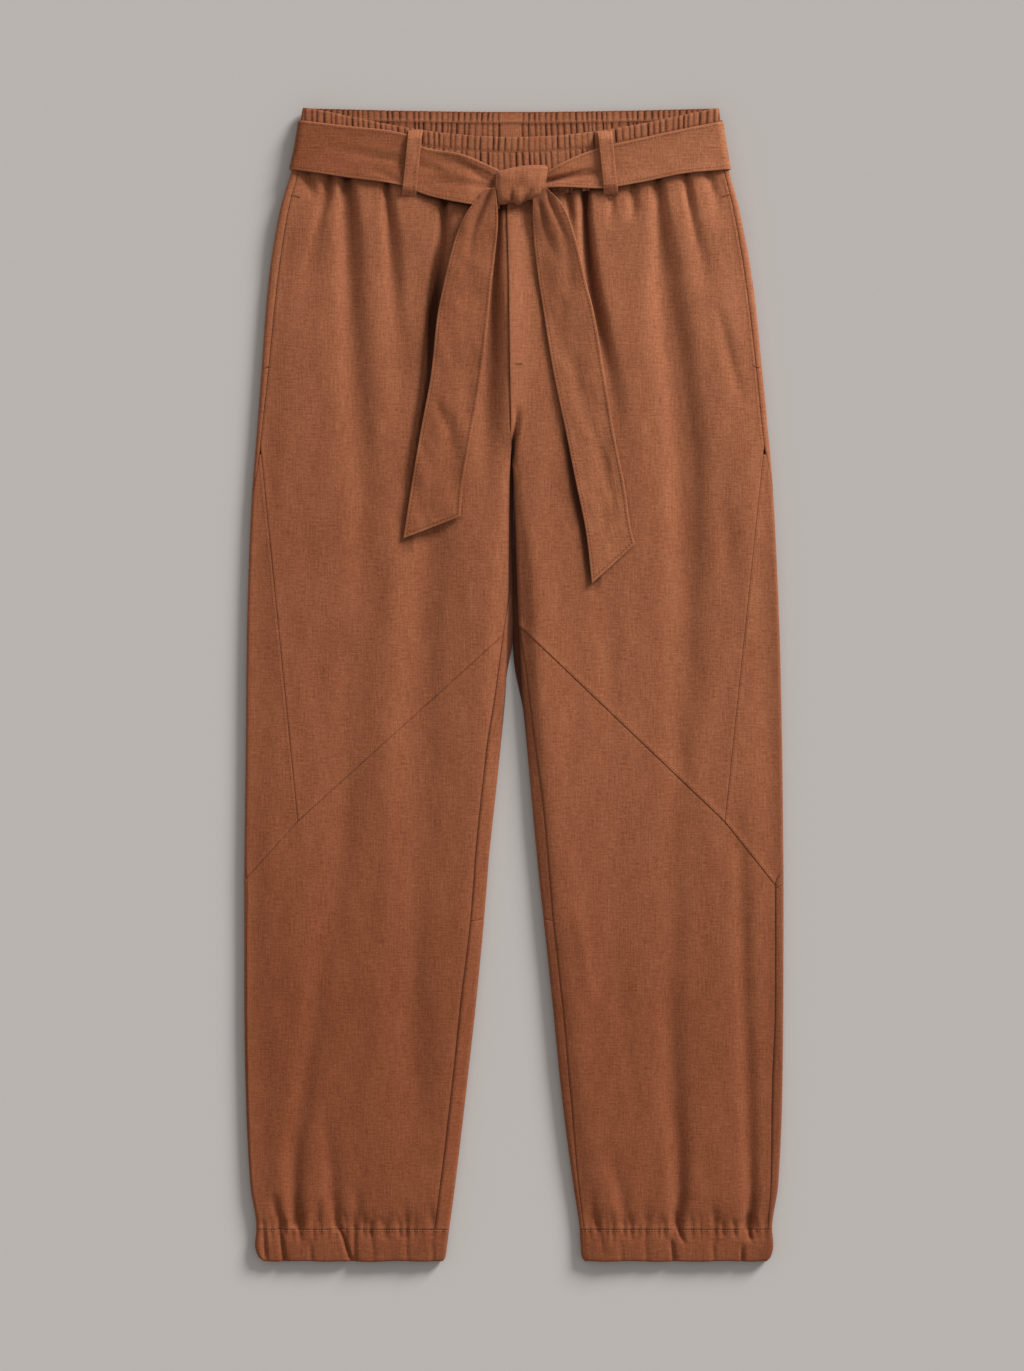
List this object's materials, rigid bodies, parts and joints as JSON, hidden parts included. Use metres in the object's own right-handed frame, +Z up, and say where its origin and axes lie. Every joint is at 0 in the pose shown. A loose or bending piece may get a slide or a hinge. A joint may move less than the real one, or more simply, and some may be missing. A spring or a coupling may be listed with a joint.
{
  "type": "harem pants laid flat",
  "caption": "Linen harem pants laid flat, front up, with a shirred elastic waist, a tied sash, side panels, diagonal knee seams and gathered cuffs",
  "frame": {"origin": "middle of the laid-out garment, on the surface that it lies on", "axes": "+X across the garment to the viewer's right, +Y from the hems to the waist, +Z up off the surface, out of the front"},
  "size_m": [0.4682, 1, 0.0247],
  "materials": {
    "linen": "matt rust-brown linen",
    "sash": "matt rust-brown linen, double layer"
  },
  "bodies": {
    "root": {"waistband_front": "linen", "waistband_back": "linen", "front_upper_left": "linen", "side_panel_left": "linen", "front_lower_left": "linen", "back_upper_left": "linen", "back_lower_left": "linen", "cuff_left": "linen", "belt_front_left": "sash", "belt_tail_left": "sash", "front_upper_right": "linen", "side_panel_right": "linen", "front_lower_right": "linen", "back_upper_right": "linen", "back_lower_right": "linen", "cuff_right": "linen", "belt_front_right": "sash", "belt_tail_right": "sash", "belt_back": "sash", "belt_knot": "sash", "belt_loop_left": "linen", "belt_loop_right": "linen", "belt_loop_back": "linen"}
  },
  "joints": []
}
